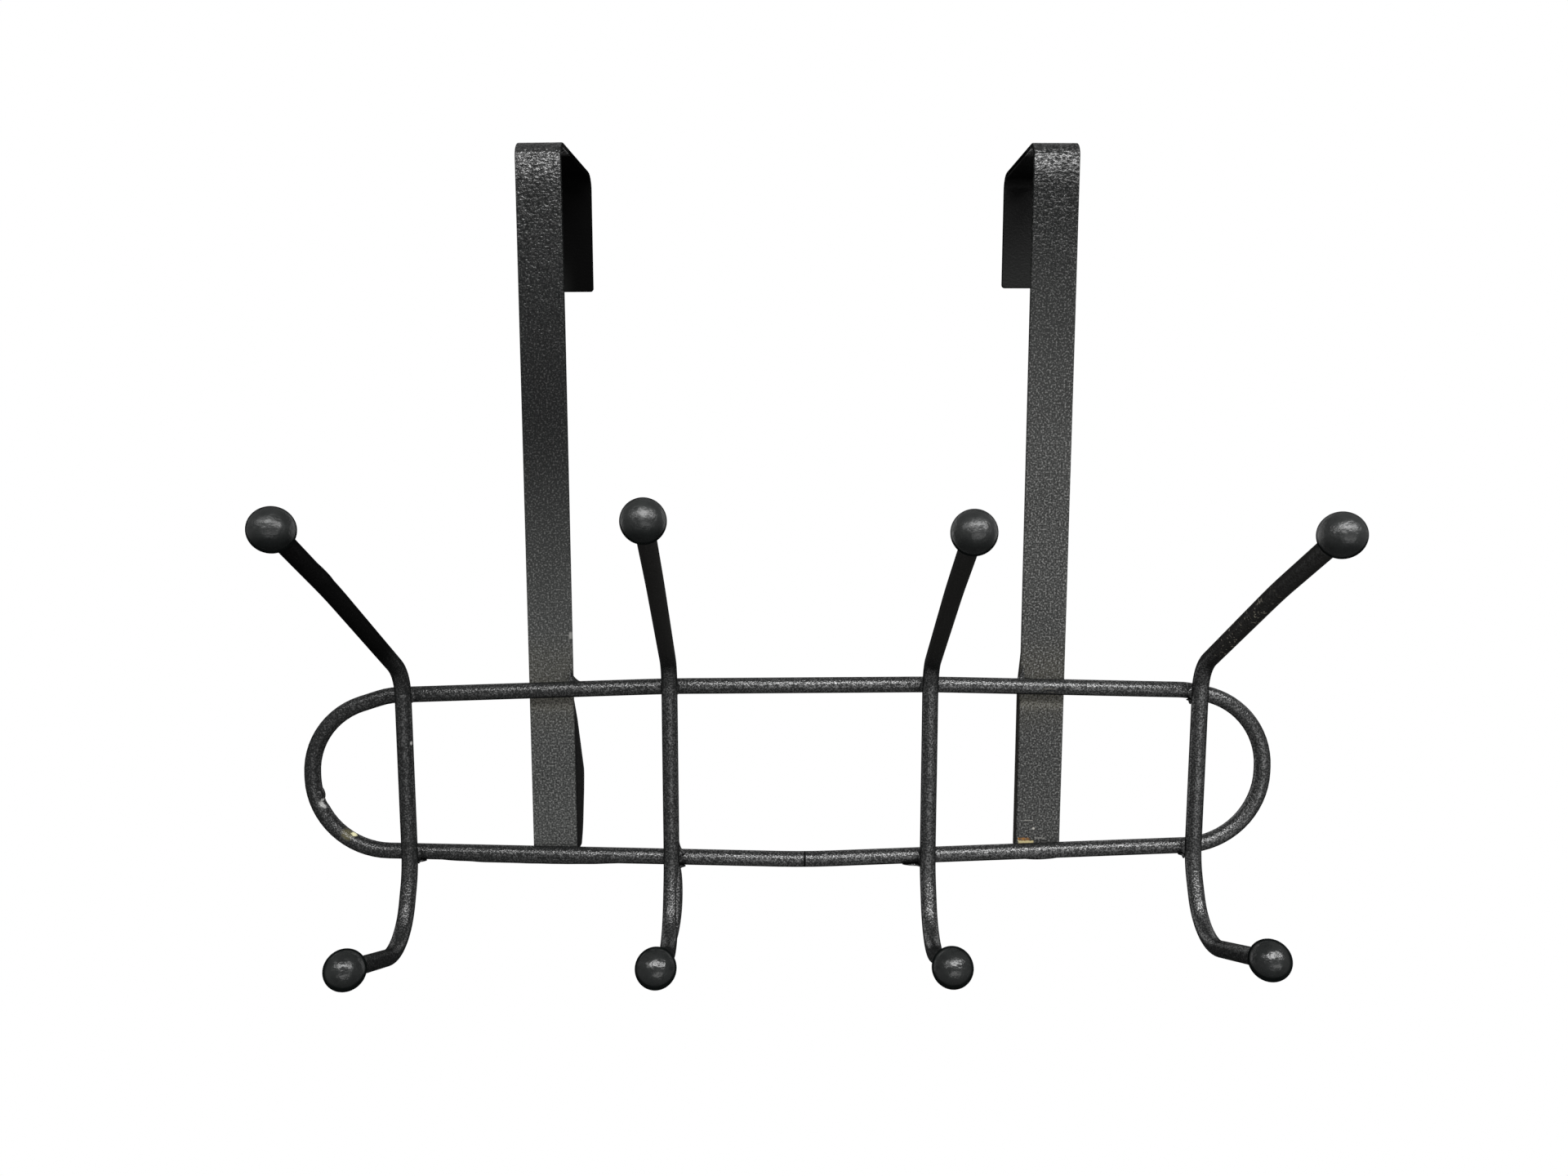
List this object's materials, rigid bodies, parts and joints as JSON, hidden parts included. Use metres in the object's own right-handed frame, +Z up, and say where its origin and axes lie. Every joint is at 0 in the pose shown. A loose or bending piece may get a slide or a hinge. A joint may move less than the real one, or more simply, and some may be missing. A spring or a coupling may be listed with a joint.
{
  "type": "over-door hook rack",
  "caption": "Black coated wire loop with double coat hooks and ball tips, hung from flat straps that bend over the top edge of a door or wall.",
  "frame": {"origin": "midway between the straps, on the door's top edge, in the plane of the straps' back faces", "axes": "+X along the door to the viewer's right, +Y through the door to its back, +Z up"},
  "size_m": [0.3314, 0.149, 0.2654],
  "materials": {
    "coated_wire": "textured black powder coat, satin",
    "coated_ball": "smooth black powder coat, satin",
    "coated_strap": "coarse textured black powder coat, satin",
    "pad_foam": "matt closed-cell foam"
  },
  "bodies": {
    "root": {"wire_loop": "coated_wire", "outer_left_hook": "coated_wire", "inner_left_hook": "coated_wire", "inner_right_hook": "coated_wire", "outer_right_hook": "coated_wire", "outer_left_upper_ball": "coated_ball", "outer_left_lower_ball": "coated_ball", "inner_left_upper_ball": "coated_ball", "inner_left_lower_ball": "coated_ball", "inner_right_upper_ball": "coated_ball", "inner_right_lower_ball": "coated_ball", "outer_right_upper_ball": "coated_ball", "outer_right_lower_ball": "coated_ball", "left_strap": "coated_strap", "right_strap": "coated_strap", "left_door_pad": "pad_foam", "right_door_pad": "pad_foam"}
  },
  "joints": []
}
